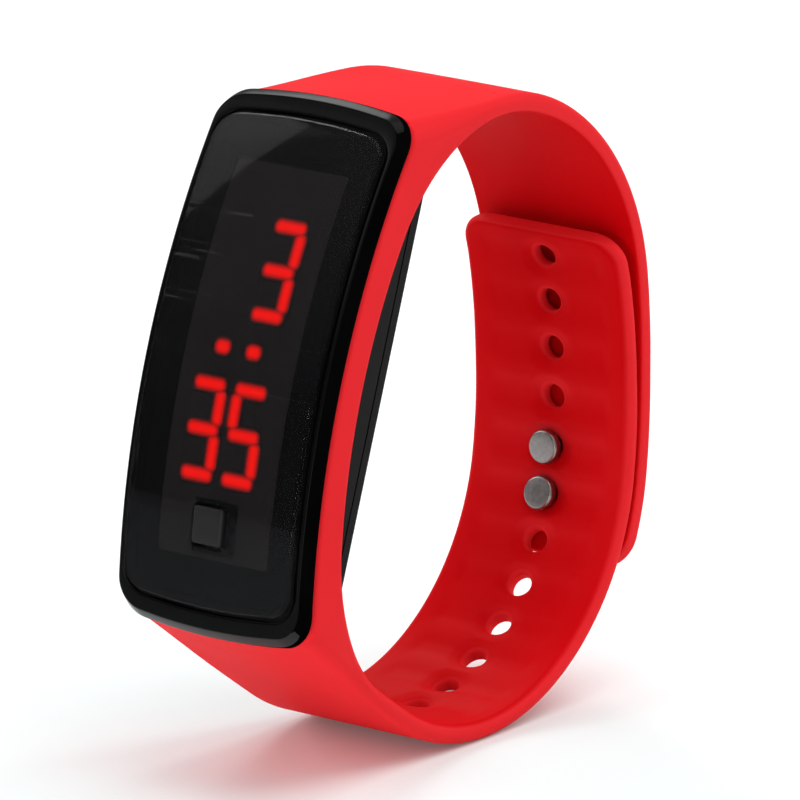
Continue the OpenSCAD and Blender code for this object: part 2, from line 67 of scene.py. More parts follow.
SOLE_R, SOLE_TURN, LOWER_RUN = 23.5, 57.5, 19.75
TOP_ROOT_R, LOW_ROOT_R = 2.0, 1.3
HOLE_PITCH, HOLE_D, HOLES_BELOW, HOLES_ABOVE = 5.05, 2.4, 6, 4
STUD_DROP, TAIL_PAST, TIP_PAST, TIP_R = 8.5, 6.0, 3.8, 3.5
TIP_LIFT = 1.2
HEAD_D, HEAD_T, HEAD_GAP, POST_D = 3.4, 1.0, 0.1, 2.1
PLATE_W, PLATE_T, PLATE_PAST = 9.0, 0.8, 2.6
DISPLAY_U, DISPLAY_V, DIGIT_W, DIGIT_H, BAR = -0.4, 1.0, 4.0, 9.6, 1.0
COLUMN_PITCH, ROW_PITCH = 4.9, 15.9
# Column, row and lit bars: 0 to 2 across from the bottom up, 3 and 4 on the left, 5 and 6 on the right
DIGITS = [(1, 1, (0, 1, 2, 5, 6)), (-1, -1, (0, 1, 2, 5, 6)), (1, -1, (0, 1, 2, 4, 5))]
HINGE_RISE, FLEX_HOLE = HOLES_ABOVE * HOLE_PITCH + TIP_PAST + 6.0, 1.5

# The silicone's soft forms, which the part leaves to this script. The shares are of the band's
# first straight run: over them the case's width and the roots' rounder edges fade out
EDGE_R, INNER_EDGE_R, ROOT_SHARE, WIDTH_SHARE = 0.93, 0.35, 0.9, 1.6
SHARP_UNDER, SHARP_FADE = 1.2, 0.7
HOUSING_GAP, HOUSING_EDGE_R = 0.1, 0.12
HOLE_EDGE_R, STUD_EDGE_R, STUD_GAP = 0.5, 0.18, 0.05
RECESS_R, RECESS_GAP = 1.0, 0.03
DENT_D, DENT_FULL, DENT_REACH, DENT_MARGIN, DENT_FADE = 0.16, 1.15, 2.0, 1.8, 1.6
DIMPLE_D, DIMPLE_REACH = 0.25, 1.7
# The grid that the silicone's field is meshed on, how far in from the side line counts as band,
# and half the length of the stretch round each joint of the band
GRID, IN_REACH, BEND = 0.25, 6.0, 5.0
# Where the silicone's two meshes meet, and the height of the loop's middle, from which the silicone's
# painted shade is measured
SEAM_Y, SEAM_Z, LOOP_Z = 5.0, 9.75, 40.0
# A face belongs to the bowed front when its normal is at least this much along the dial's
FRONT_FACING = 0.9


# The side view, in [y, z] from the middle of the dial, and the band's side line

def heading_vector(h):
    return np.array([math.cos(math.radians(h)), math.sin(math.radians(h))])


def outward(h):
    return np.array([-math.sin(math.radians(h)), math.cos(math.radians(h))])


def level(v, depth):
    """Distance out of the dial of a point at height v and a depth below the bowed front."""
    return np.sqrt((FRONT_R - depth) ** 2 - np.square(v)) - FRONT_R


def side(v, n):
    """Side view of a point at height v on the dial and a distance n out of it."""
    return np.array([v * math.sin(LEAN) - n * math.cos(LEAN), v * math.cos(LEAN) + n * math.sin(LEAN)])


def go(pose, length, radius):
    """The pose [y, z, heading] that a run leads to; radius 0 is straight."""
    y, z, h = pose
    if radius == 0:
        return (y + length * math.cos(math.radians(h)), z + length * math.sin(math.radians(h)), h)
    end = h - math.degrees(length / radius)
    a, b = math.radians(h), math.radians(end)
    return (y + radius * (math.sin(a) - math.sin(b)), z + radius * (math.cos(b) - math.cos(a)), end)


def side_line():
    """The runs of the band's side line; the two free straights close the loop."""
    flat_turn = 90 + TOP_HEADING - TOP_TURN
    arcs = [(TOP_TURN, TOP_R), (flat_turn, BACK_R), None, (flat_turn, BACK_R), (HEEL_TURN, HEEL_R),
            (SOLE_TURN, SOLE_R)]
    arcs = [a if a is None else (a[1] * math.radians(abs(a[0])), a[1]) for a in arcs]
    start = side(CASE_L / 2, level(CASE_L / 2, BEZEL_D)) - BAND_T * outward(TOP_HEADING)
    goal = side(-CASE_L / 2, level(CASE_L / 2, BEZEL_D))

    def runs(top, back):
        middle = [(back, 0.0) if a is None else a for a in arcs]
        return [(top, 0.0)] + middle + [(LOWER_RUN, 0.0)]

    pose = (start[0], start[1], TOP_HEADING)
    for length, radius in runs(0.0, 0.0):
        pose = go(pose, length, radius)
    miss = goal - np.array(pose[:2])
    top, back = np.linalg.solve(np.array([heading_vector(TOP_HEADING), heading_vector(-90)]).T, miss)
    return (start[0], start[1], TOP_HEADING), runs(top, back)


LINE_START, RUNS = side_line()
POSES = [LINE_START]
for run in RUNS:
    POSES.append(go(POSES[-1], *run))
MARKS = np.concatenate([[0.0], np.cumsum([r[0] for r in RUNS])])
BAND_END = MARKS[-1]
UPPER_STUD = (MARKS[3] + MARKS[4]) / 2 + STUD_DROP
LOWER_STUD = UPPER_STUD + HOLE_PITCH
STUDS = (UPPER_STUD, LOWER_STUD)
TAIL_END = LOWER_STUD + TAIL_PAST
TAIL_START = UPPER_STUD - HINGE_RISE
HOLED_START = UPPER_STUD - HOLES_ABOVE * HOLE_PITCH - TIP_PAST
FLEX_AT = LOWER_STUD + FLEX_HOLE * HOLE_PITCH
INNER_OUT, INNER_IN = -LAYER_GAP, -LAYER_GAP - BAND_T
# Up to UPPER_END a place on the band belongs to its upper length, and LOW_START is where the
# lower length's outline starts in the mesh with the tail
UPPER_END, LOW_START = TAIL_END + 1, FLEX_AT + 4
HOLES = [UPPER_STUD - i * HOLE_PITCH for i in range(HOLES_ABOVE + 1)]
HOLES += [LOWER_STUD + i * HOLE_PITCH for i in range(HOLES_BELOW + 1)]

FRONT_V = min(LENS_L / 2, FRONT_R * math.sin(LEAN))
MID_Y = (side(-FRONT_V, level(FRONT_V, 0))[0] + POSES[3][0] + BAND_T) / 2
SOLE_H = math.radians(POSES[6][2])
FLOOR_Z = POSES[6][1] - SOLE_R * math.cos(SOLE_H) - SOLE_R + LAYER_GAP


def at(s):
    i = min(int(np.searchsorted(MARKS, s, "right")) - 1, len(RUNS) - 1)
    return go(POSES[i], s - MARKS[i], RUNS[i][1])


def beside(s, d):
    y, z, h = at(s)
    return np.array([y, z]) + d * outward(h)


def lift(s):
    """How far the inner end stands off the tail; its free tip is not held."""
    reach = (HOLES_ABOVE - 0.5) * HOLE_PITCH + TIP_PAST
    return TIP_LIFT * np.maximum(0, 1 - (s - HOLED_START) / reach) ** 1.5


def row(x, yz):
    """A point of the row frame in metres, from a distance across the band and a side view point."""
    return Vector((x * MM, (yz[0] - MID_Y) * MM, (yz[1] - FLOOR_Z) * MM))


def on_case(u, v, n):
    return row(u, side(v, n))


def on_band(s, x, d):
    return row(x, beside(s, d))


def locate(y, z):
    """Distance along the side line, and outward from it, for arrays of side view points."""
    best = np.full(np.shape(y), np.inf)
    s_at, d_at = np.zeros_like(best), np.zeros_like(best)
    for i, ((length, radius), (py, pz, h)) in enumerate(zip(RUNS, POSES)):
        a = math.radians(h)
        if radius == 0:
            t = (y - py) * math.cos(a) + (z - pz) * math.sin(a)
            d = (z - pz) * math.cos(a) - (y - py) * math.sin(a)
        else:
            cy, cz = py + radius * math.sin(a), pz - radius * math.cos(a)
            turned = a + math.pi / 2 - np.arctan2(z - cz, y - cy)
            t = radius * ((turned + math.pi) % (2 * math.pi) - math.pi)
            d = np.hypot(y - cy, z - cz) - radius
        low = -1e3 if i == 0 else 0.0
        high = 1e3 if i == len(RUNS) - 1 else length
        off = np.hypot(t - np.clip(t, low, high), d)
        nearer = off < best
        best = np.where(nearer, off, best)
        s_at = np.where(nearer, MARKS[i] + t, s_at)
        d_at = np.where(nearer, d, d_at)
    return s_at, d_at


# Distance fields: negative inside the material

def round_max(a, b, r):
    """Intersection of two fields with a rounded edge."""
    corner = np.hypot(np.maximum(a + r, 0), np.maximum(b + r, 0))
    return corner + np.minimum(np.maximum(a + r, b + r), 0) - r


def smooth_step(t):
    t = np.clip(t, 0, 1)
    return t * t * (3 - 2 * t)


def polygon_field(y, z, points):
    """Signed distance to a closed outline, for arrays of points."""
    best = np.full(np.shape(y), np.inf)
    inside = np.zeros(np.shape(y), bool)
    for (ay, az), (by, bz) in zip(points, np.roll(points, -1, axis=0)):
        ey, ez = by - ay, bz - az
        if ey * ey + ez * ez < 1e-12:
            continue
        t = np.clip(((y - ay) * ey + (z - az) * ez) / (ey * ey + ez * ez), 0, 1)
        best = np.minimum(best, (y - ay - t * ey) ** 2 + (z - az - t * ez) ** 2)
        if ez != 0:
            crossing = (az > z) != (bz > z)
            inside ^= crossing & (y < ay + (z - az) / ez * ey)
    return np.where(inside, -1, 1) * np.sqrt(best)


def rounded_field(u, v, w, l, r):
    """Signed distance to a rounded rectangle with bulged ends."""
    box = round_max(np.abs(u) - w / 2, np.abs(v) - l / 2, r)
    ends = np.hypot(u, np.abs(v) - (l / 2 - END_R)) - END_R
    return np.maximum(box, ends)


def arc(centre, r, start, stop, step=1.5):
    count = max(2, int(abs(stop - start) / step))
    return [centre + r * heading_vector(start + (stop - start) * i / count) for i in range(count + 1)]


def face(start, stop, d, lifted=0.0, step=0.4):
    count = max(2, int(abs(stop - start) / step))
    return [beside(s, d - lifted * lift(s)) for s in np.linspace(start, stop, count)]


RING_CENTRE = side(0, -RING_D - RING_R)
TOP_TOUCH = MARKS[1] + 1.2
LOW_TOUCH = BAND_END - 0.7 * LOWER_RUN


def fillet(p, h):
    """The arc that touches a straight face at p and the ring's rear curve, and where it meets that."""
    n = outward(h)
    q = p - RING_CENTRE
    r = (RING_R ** 2 - q @ q) / (2 * (RING_R - q @ n))
    centre = p - r * n
    away = centre - RING_CENTRE
    start = math.degrees(math.atan2(n[1], n[0]))
    swing = (math.degrees(math.atan2(away[1], away[0])) - start + 180) % 360 - 180
    return arc(centre, r, start, start + swing), (start + swing) % 360


def band_outlines():
    """Side outlines of the silicone: with the tail, and with the holed end."""
    top_fillet, top_angle = fillet(beside(TOP_TOUCH, 0), at(TOP_TOUCH)[2])
    low_fillet, low_angle = fillet(beside(LOW_TOUCH, INNER_IN), POSES[-1][2])
    front = [side(v, level(v, BEZEL_D)) for v in np.linspace(-CASE_L / 2, CASE_L / 2, 60)]
    rear = arc(RING_CENTRE, RING_R, top_angle, low_angle)
    low_outer = face(LOW_START, BAND_END, INNER_OUT)
    low_inner = face(LOW_TOUCH, LOW_START, INNER_IN)
    tail = face(0, TAIL_END, BAND_T) + face(TAIL_END, TOP_TOUCH, 0)
    with_tail = front + tail + top_fillet + rear + low_fillet[::-1] + low_inner + low_outer
    holed = face(LOW_TOUCH, HOLED_START, INNER_IN, 1.0) + face(HOLED_START, BAND_END, INNER_OUT, 1.0)
    with_holes = front + top_fillet[-1:] + rear + low_fillet[::-1] + holed
    return np.array(with_tail), np.array(with_holes)


def grid_lines(low, high):
    """Grid lines at whole steps, so that both lengths agree at the seam."""
    return (np.arange(math.floor(low / GRID), math.ceil(high / GRID)) + 0.5) * GRID


def dents(x, s):
    """Depth of the shallow soft bands across at each hole, and of the dimples round the holes."""
    depth = 0 * s
    across = smooth_step((BAND_W / 2 - DENT_MARGIN - np.abs(x)) / DENT_FADE)
    for hole in HOLES:
        along = smooth_step(DENT_FULL - np.abs(s - hole) / DENT_REACH)
        depth = np.maximum(depth, DENT_D * along * across)
    for hole in HOLES:
        radius = np.hypot(s - hole, x)
        depth = depth + DIMPLE_D * smooth_step(1 - (radius - HOLE_D / 2) / DIMPLE_REACH)
    return depth


class Band:
    """The silicone's distance field. What depends on the side view alone is kept on a grid."""

    def __init__(self, outline, tail):
        self.tail = tail
        low, high = outline.min(axis=0) - 1.0, outline.max(axis=0) + 1.0
        self.x = grid_lines(-CASE_W / 2 - 1.0, CASE_W / 2 + 1.0)
        self.y, self.z = grid_lines(low[0], high[0]), grid_lines(low[1], high[1])
        y, z = np.meshgrid(self.y, self.z, indexing="ij")
        s, d = locate(y, z)
        run = np.where(s < UPPER_END, s, BAND_END - s)
        self.grids = np.array([polygon_field(y, z, outline), s, d, run])

    def look_up(self, y, z):
        fy = np.clip((y - self.y[0]) / GRID, 0, len(self.y) - 1.001)
        fz = np.clip((z - self.z[0]) / GRID, 0, len(self.z) - 1.001)
        i, j = fy.astype(int), fz.astype(int)
        a, b = fy - i, fz - j
        g = self.grids
        return ((g[:, i, j] * (1 - a) + g[:, i + 1, j] * a) * (1 - b)
                + (g[:, i, j + 1] * (1 - a) + g[:, i + 1, j + 1] * a) * b)

    def __call__(self, x, y, z):
        outline, s, d, run = self.look_up(y, z)
        in_band = d > -IN_REACH
        upper = s < UPPER_END
        fade = smooth_step(run / np.where(upper, WIDTH_SHARE * MARKS[1], LOWER_RUN))
        width = np.abs(x) - (CASE_W / 2 + (BAND_W - CASE_W) / 2 * fade)
        plan = width
        if self.tail:
            tip = round_max(s - TAIL_END, width, TIP_R)
            plan = np.where(in_band & (s < FLEX_AT), tip, plan)
        else:
            tip = round_max(HOLED_START - s, width, TIP_R)
            plan = np.where(in_band & (s < UPPER_STUD), tip, plan)
        dent = np.where(in_band & (d + lift(s) < (INNER_IN + INNER_OUT) / 2), dents(x, s), 0)
        # The wrist side's edges are sharper over the top of the loop
        past_root = smooth_step(run / (ROOT_SHARE * MARKS[1]))
        low_side = smooth_step((SHARP_UNDER - d) / SHARP_FADE)
        sharper = np.where(upper & self.tail, past_root * low_side, 0)
        shape = round_max(outline + dent, plan, EDGE_R + (INNER_EDGE_R - EDGE_R) * sharper)
        # The outer edges are rounder where the band meets the case
        rounder = np.where(upper, TOP_ROOT_R, LOW_ROOT_R) - EDGE_R
        root_r = EDGE_R + rounder * (1 - past_root)
        bulge = (1 - fade) * x * x / (2 * END_R)
        outer = d - np.where(upper & self.tail, BAND_T, INNER_OUT)
        shape = np.maximum(shape, round_max(outer + bulge, width, root_r))
        v = y * math.sin(LEAN) + z * math.cos(LEAN)
        n = z * math.sin(LEAN) - y * math.cos(LEAN)
        housing = rounded_field(x, v, HOUSING_W + HOUSING_GAP, HOUSING_L + HOUSING_GAP, HOUSING_R)
        shape = round_max(shape, -np.maximum(housing, -n - 2 * CASE_T), HOUSING_EDGE_R)
        cuts = [(s - hole, HOLE_D / 2, HOLE_EDGE_R) for hole in HOLES
                if not self.tail or hole > LOW_START]
        if self.tail:
            cuts += [(s - stud, POST_D / 2 + STUD_GAP, STUD_EDGE_R) for stud in STUDS]
            along = np.abs(s - (UPPER_STUD + LOWER_STUD) / 2) - (HOLE_PITCH / 2 + PLATE_PAST)
            recess = round_max(np.abs(x) - PLATE_W / 2, along, RECESS_R) - RECESS_GAP
            recess = np.maximum(recess, BAND_T - PLATE_T - d)
            shape = np.where(in_band, np.maximum(shape, -recess), shape)
        for along, radius, edge in cuts:
            shape = np.where(in_band, round_max(shape, radius - np.hypot(along, x), edge), shape)
        return shape


CORNERS = np.array([(i, j, k) for i in (0, 1) for j in (0, 1) for k in (0, 1)])
EDGES = [(a, b) for a in range(8) for b in range(a + 1, 8)
         if np.abs(CORNERS[a] - CORNERS[b]).sum() == 1]


def surface_net(values, keep):
    """Vertices in grid units and quads of a field's zero surface; keep says which grid edges count."""
    shape = np.array(values.shape)
    inside = values < 0
    cells = sum(inside[tuple(slice(c, size - 1 + c) for c, size in zip(corner, shape))].astype(np.int8)
                for corner in CORNERS)
    mixed = (cells > 0) & (cells < 8)
    index = np.full(mixed.shape, -1)
    where = np.argwhere(mixed)
    index[mixed] = np.arange(len(where))
    at_corner = np.array([values[tuple((where + c).T)] for c in CORNERS])
    total, count = np.zeros((len(where), 3)), np.zeros(len(where))
    for a, b in EDGES:
        va, vb = at_corner[a], at_corner[b]
        crossed = (va < 0) != (vb < 0)
        t = np.where(crossed, va / np.where(crossed, va - vb, 1), 0)
        point = CORNERS[a] + t[:, None] * (CORNERS[b] - CORNERS[a])
        total += np.where(crossed[:, None], point, 0)
        count += crossed
    points = where + total / count[:, None]
    quads = []
    for axis in range(3):
        others = [o for o in range(3) if o != axis]
        low = [slice(1, -1)] * 3
        high = [slice(1, -1)] * 3
        low[axis], high[axis] = slice(0, -1), slice(1, None)
        a, b = inside[tuple(low)], inside[tuple(high)]
        crossed = np.argwhere((a != b) & keep[tuple(low)])
        flip = a[tuple(crossed.T)]
        crossed = crossed + np.array([0 if o == axis else 1 for o in range(3)])
        ring = []
        for du, dv in ((1, 1), (0, 1), (0, 0), (1, 0)):
            cell = crossed.copy()
            cell[:, others[0]] -= du
            cell[:, others[1]] -= dv
            ring.append(index[tuple(cell.T)])
        ring = np.array(ring).T
        turned = flip if axis != 1 else ~flip
        quads.append(np.where(turned[:, None], ring, ring[:, ::-1]))
    return points, np.concatenate(quads)


def mesh_object(name, points, faces, normals):
    """A smooth-shaded object from vertex places in metres and faces of one size."""
    mesh = bpy.data.meshes.new(name)
    points, faces = np.asarray(points, float), np.asarray(faces, int)
    corners = faces.shape[1]
    mesh.vertices.add(len(points))
    mesh.vertices.foreach_set("co", points.ravel())
    mesh.loops.add(faces.size)
    mesh.loops.foreach_set("vertex_index", faces.ravel())
    mesh.polygons.add(len(faces))
    mesh.polygons.foreach_set("loop_start", np.arange(0, faces.size, corners))
    mesh.polygons.foreach_set("use_smooth", np.ones(len(faces), bool))
    mesh.update(calc_edges=True)
    mesh.validate()
    mesh.normals_split_custom_set_from_vertices(normals)
    obj = bpy.data.objects.new(name, mesh)
    bpy.context.scene.collection.objects.link(obj)
    return obj


def net_object(name, field, axes, wanted):
    """The surface of a distance field: a net, drawn onto the field's zero, with the field's own
    normals. It is kept where wanted says so in the side view."""
    y, z = np.meshgrid(axes[1], axes[2], indexing="ij")
    values = np.array([field(x, y, z) for x in axes[0]], np.float32)
    keep = np.broadcast_to(wanted(y, z), values.shape)
    points, quads = surface_net(values, keep)
    used, quads = np.unique(quads, return_inverse=True)
    step = axes[0][1] - axes[0][0]
    points = points[used] * step + np.array([a[0] for a in axes])

    def gradient(p):
        e = 0.02
        ends = [field(*(p + e * axis).T) - field(*(p - e * axis).T) for axis in np.eye(3)]
        return np.array(ends).T / (2 * e)

    least = 0.2
    for _ in range(2):
        slope = gradient(points)
        size = np.maximum((slope ** 2).sum(axis=1), least)
        move = (field(*points.T) / size)[:, None] * slope
        points = points - np.clip(move, -step / 2, step / 2)
    normals = gradient(points)
    normals /= np.maximum(np.linalg.norm(normals, axis=1), 1e-6)[:, None]
    places = (points + np.array([0, -MID_Y, -FLOOR_Z])) * MM
    return mesh_object(name, places, quads.reshape(-1, 4), normals)


def band_piece(name, outline, tail):
    """One length of silicone. The two lengths meet in an upright plane under the wrist, and the
    length with the tail also stops at a level one behind it."""
    band = Band(outline, tail)

    def wanted(y, z):
        behind = y - MID_Y > SEAM_Y
        return ~(behind & (z - FLOOR_Z < SEAM_Z)) if tail else behind

    return net_object(name, band, (band.x, band.y, band.z), wanted)


# Outlines on the dial, and bowed pieces built from them

def outline_path(w, l, r, corner_steps=14, side_steps=60, end_steps=18):
    """Points and outward normals round a rectangle with bulged ends and tangent corners."""
    big = l / 2 - END_R
    across = w / 2 - r
    corner_v = big + math.sqrt((END_R - r) ** 2 - across ** 2)
    meet = math.atan2(corner_v - big, across)
    points, normals = [], []

    def add(p, a):
        points.append(p)
        normals.append((math.cos(a), math.sin(a)))

    for v in np.linspace(0, corner_v, side_steps // 2, endpoint=False):
        add((w / 2, v), 0.0)
    for a in np.linspace(0, meet, corner_steps, endpoint=False):
        add((across + r * math.cos(a), corner_v + r * math.sin(a)), a)
    for a in np.linspace(meet, math.pi / 2, end_steps, endpoint=False):
        add((END_R * math.cos(a), big + END_R * math.sin(a)), a)
    quarter = list(zip(points, normals))
    full = quarter + [((0.0, l / 2), (0.0, 1.0))]
    mirrored = [((-p[0], p[1]), (-n[0], n[1])) for p, n in quarter[::-1]]
    upper = full + mirrored
    lower = [((p[0], -p[1]), (n[0], -n[1])) for p, n in upper[::-1]][1:-1]
    path = upper + lower
    return np.array([p for p, _ in path]), np.array([n for _, n in path])


def square_path(w, l, r, v, steps=6):
    """Points and outward normals round a small rounded rectangle at height v."""
    points, normals = [], []
    for quarter in range(4):
        cu = (w / 2 - r) * (1 if quarter in (0, 3) else -1)
        cv = (l / 2 - r) * (1 if quarter in (0, 1) else -1)
        for a in np.linspace(quarter * math.pi / 2, (quarter + 1) * math.pi / 2, steps):
            points.append((cu + r * math.cos(a), v + cv + r * math.sin(a)))
            normals.append((math.cos(a), math.sin(a)))
    return np.array(points), np.array(normals)


DIAL_OUT = Vector((0, -math.cos(LEAN), math.sin(LEAN)))


def to_dial(point):
    """Height on the dial of a point of the row frame."""
    return (point.y / MM + MID_Y) * math.sin(LEAN) + (point.z / MM + FLOOR_Z) * math.cos(LEAN)


def dial_point(u, v, depth):
    return on_case(u, v, float(level(v, depth)))


def rings(bm, path, profile, place):
    """Loops of vertices round a path; each profile point is (inset, depth)."""
    points, normals = path
    loops = []
    for inset, depth in profile:
        loops.append([bm.verts.new(place(p[0] - n[0] * inset, p[1] - n[1] * inset, depth))
                      for p, n in zip(points, normals)])
    return loops


def bridge(bm, loops, closed=False):
    pairs = list(zip(loops, loops[1:])) + ([(loops[-1], loops[0])] if closed else [])
    for a, b in pairs:
        for i in range(len(a)):
            j = (i + 1) % len(a)
            bm.faces.new((a[i], a[j], b[j], b[i]))


def fill(bm, outlines, place, depth, row_step=0.8):
    """A bowed face inside an outline and round its holes, cut into rows so that it bows smoothly."""
    flat = bmesh.new()
    edges = []
    for outline in outlines:
        verts = [flat.verts.new((p[0], p[1], 0)) for p in outline]
        edges += [flat.edges.new((verts[i], verts[(i + 1) % len(verts)])) for i in range(len(verts))]
    bmesh.ops.triangle_fill(flat, use_beauty=True, edges=edges)
    low = min(v.co.y for v in flat.verts)
    high = max(v.co.y for v in flat.verts)
    for v in np.arange(low + row_step, high, row_step):
        every = list(flat.verts) + list(flat.edges) + list(flat.faces)
        bmesh.ops.bisect_plane(flat, geom=every, plane_co=(0, v, 0), plane_no=(0, 1, 0))
    made = {}
    for vert in flat.verts:
        made[vert] = bm.verts.new(place(vert.co.x, vert.co.y, depth))
    for f in flat.faces:
        bm.faces.new([made[v] for v in f.verts])
    flat.free()


def finish_mesh(name, bm, sharp=None):
    """An object from a bmesh, smooth but for edges above a sharp angle."""
    bmesh.ops.remove_doubles(bm, verts=bm.verts, dist=1e-6)
    bmesh.ops.recalc_face_normals(bm, faces=bm.faces)
    for f in bm.faces:
        f.smooth = True
    if sharp is not None:
        for e in bm.edges:
            e.smooth = not (len(e.link_faces) == 2 and e.calc_face_angle(0) > math.radians(sharp))
    mesh = bpy.data.meshes.new(name)
    bm.to_mesh(mesh)
    bm.free()
    obj = bpy.data.objects.new(name, mesh)
    bpy.context.scene.collection.objects.link(obj)
    return obj


def inset_points(path, inset):
    points, normals = path
    return points - normals * inset


def bowed_plate(name, outer, holes, profile, sharp=40, place=dial_point):
    """A plate whose edge follows a profile from its underside to its front, with holes through it."""
    bm = bmesh.new()
    flats = {0: [], 1: []}
    for path, sign in [(outer, 1)] + [(h, -1) for h in holes]:
        turned = [(sign * inset, depth) for inset, depth in profile]
        bridge(bm, rings(bm, path, turned, place))
        flats[0].append(inset_points(path, turned[0][0]))
        flats[1].append(inset_points(path, turned[-1][0]))
    fill(bm, flats[0], place, profile[0][1])
    fill(bm, flats[1], place, profile[-1][1])
    return finish_mesh(name, bm, sharp=sharp)


def edge_round(inset, depth, r, steps=4):
    """Profile points of a rounded edge that ends on the front at a depth."""
    return [(inset + r - r * math.cos(a), depth + r - r * math.sin(a))
            for a in np.linspace(0, math.pi / 2, steps)]


# Pieces

def make_bezel():
    """The frame round the lens. Its wall follows the case and its flat's inner edge follows the lens,
    with a bevel between them that is wider at the ends."""
    bevel_w, bevel_l, end_bevel, bevel_facing = 0.76, 1.3, 2.2, 0.3
    gloss, polish, matt = 0, 1, 2
    outlines = [
        outline_path(CASE_W, CASE_L, CORNER_R),
        outline_path(CASE_W - bevel_w, CASE_L - bevel_l, CORNER_R - 0.5),
        outline_path(LENS_W + 2 * GROOVE, LENS_L + 2 * GROOVE, LENS_R + GROOVE),
        outline_path(LENS_W - 2 * LEDGE, LENS_L - 2 * LEDGE, LENS_R - LEDGE),
    ]
    outlines = [points for points, _ in outlines]
    flat, wall_top = LENS_RISE + CROWN, 1.45
    fall = wall_top - flat
    # Each point is a step from one outline towards the next, and a depth
    profile = [(0.0, BEZEL_D), (0.0, wall_top + 0.08), (0.02, wall_top + 0.02)]
    profile += [(0.07, wall_top - 0.07 * fall)]
    profile += [(0.88, flat + 0.12 * fall), (0.95, flat + 0.04), (1.02, flat + 0.01), (1.1, flat)]
    profile += [(1.8, flat), (1.93, flat + 0.02), (1.98, flat + 0.06), (2.0, flat + 0.14)]
    profile += [(2.0, LENS_T + 0.2), (3.0, LENS_T + 0.22), (3.0, BEZEL_D)]
    bm = bmesh.new()
    loops = []
    for step, depth in profile:
        i = min(int(step), len(outlines) - 2)
        points = outlines[i] + (step - i) * (outlines[i + 1] - outlines[i])
        loops.append([bm.verts.new(dial_point(u, v, depth)) for u, v in points])
    bridge(bm, loops, closed=True)
    obj = finish_mesh("bezel", bm, sharp=50)
    # The flat and the upper end's bevel are glossy, the low end's bevel is polished, the rest is matt
    for f in obj.data.polygons:
        v, n = to_dial(f.center), f.normal @ DIAL_OUT
        if n < FRONT_FACING:
            at_end = n > bevel_facing and abs(v) > CASE_L / 2 - end_bevel
            f.material_index = matt if not at_end else polish if v < 0 else gloss
    return obj


def lens_point(u, v, depth):
    """A point under the lens's front, which is crowned across as well as bowed along."""
    rise = (CROWN - u * u / (2 * CROWN_R)) * (1 - min(depth / LENS_T, 1))
    return on_case(u, v, float(level(v, depth)) + rise)


def make_lens():
    """The lens, with a narrow bevel. Its front is shaded with the crowned surface's own normals."""
    outer = outline_path(LENS_W, LENS_L, LENS_R)
    hole_w, hole_r, clear = BUTTON_W + 2 * BUTTON_GAP, 0.4, 0.1
    hole = square_path(hole_w, hole_w, hole_r, BUTTON_V)
    # Its underside stays clear of the films behind it
    profile = [(0.0, LENS_T - clear), (0.0, 0.3), (0.02, 0.24), (0.2, 0.03), (0.26, 0.0)]
    lens = bowed_plate("lens_glass", outer, [hole], profile, sharp=60, place=lens_point)
    mesh = lens.data
    normals = [Vector(c.vector) for c in mesh.corner_normals]
    for f in mesh.polygons:
        if f.normal @ DIAL_OUT < FRONT_FACING:
            continue
        for corner in f.loop_indices:
            point = mesh.vertices[mesh.loops[corner].vertex_index].co
            u, v = point.x / MM, to_dial(point)
            slope_v = v / math.sqrt(FRONT_R ** 2 - v * v)
            across = Vector((u / CROWN_R, slope_v * math.sin(LEAN), slope_v * math.cos(LEAN)))
            normals[corner] = (DIAL_OUT + across).normalized()
    mesh.normals_split_custom_set(normals)
    return lens


def make_button():
    corner_r, edge_r = 0.35, 0.28
    outer = square_path(BUTTON_W, BUTTON_W, corner_r, BUTTON_V)
    profile = [(0.0, LENS_T)] + edge_round(0.0, -BUTTON_PROUD, edge_r, 5)
    return bowed_plate("push_button", outer, [], profile)


def lit_bars():
    """Rounded bars of the shown digits and the two dots, as [u, v, width, height]."""
    up, apart = (DIGIT_H - BAR) / 2, 0.2
    bars = []
    for column, line, shown in DIGITS:
        cu, cv = DISPLAY_U + column * COLUMN_PITCH / 2, DISPLAY_V + line * ROW_PITCH / 2
        for i in shown:
            if i < 3:
                bars.append((cu, cv + (i - 1) * up, DIGIT_W - 0.6 * BAR, BAR))
            else:
                turn = -1 if i < 5 else 1
                middle = cv + ((i - 3) % 2 - 0.5) * up
                bars.append((cu + turn * (DIGIT_W - BAR) / 2, middle, BAR, up - BAR - apart))
    dot_w, dot_h, dot_u = 1.5, 1.1, 1.85
    return bars + [(DISPLAY_U + x, DISPLAY_V, dot_w, dot_h) for x in (-dot_u, dot_u)]


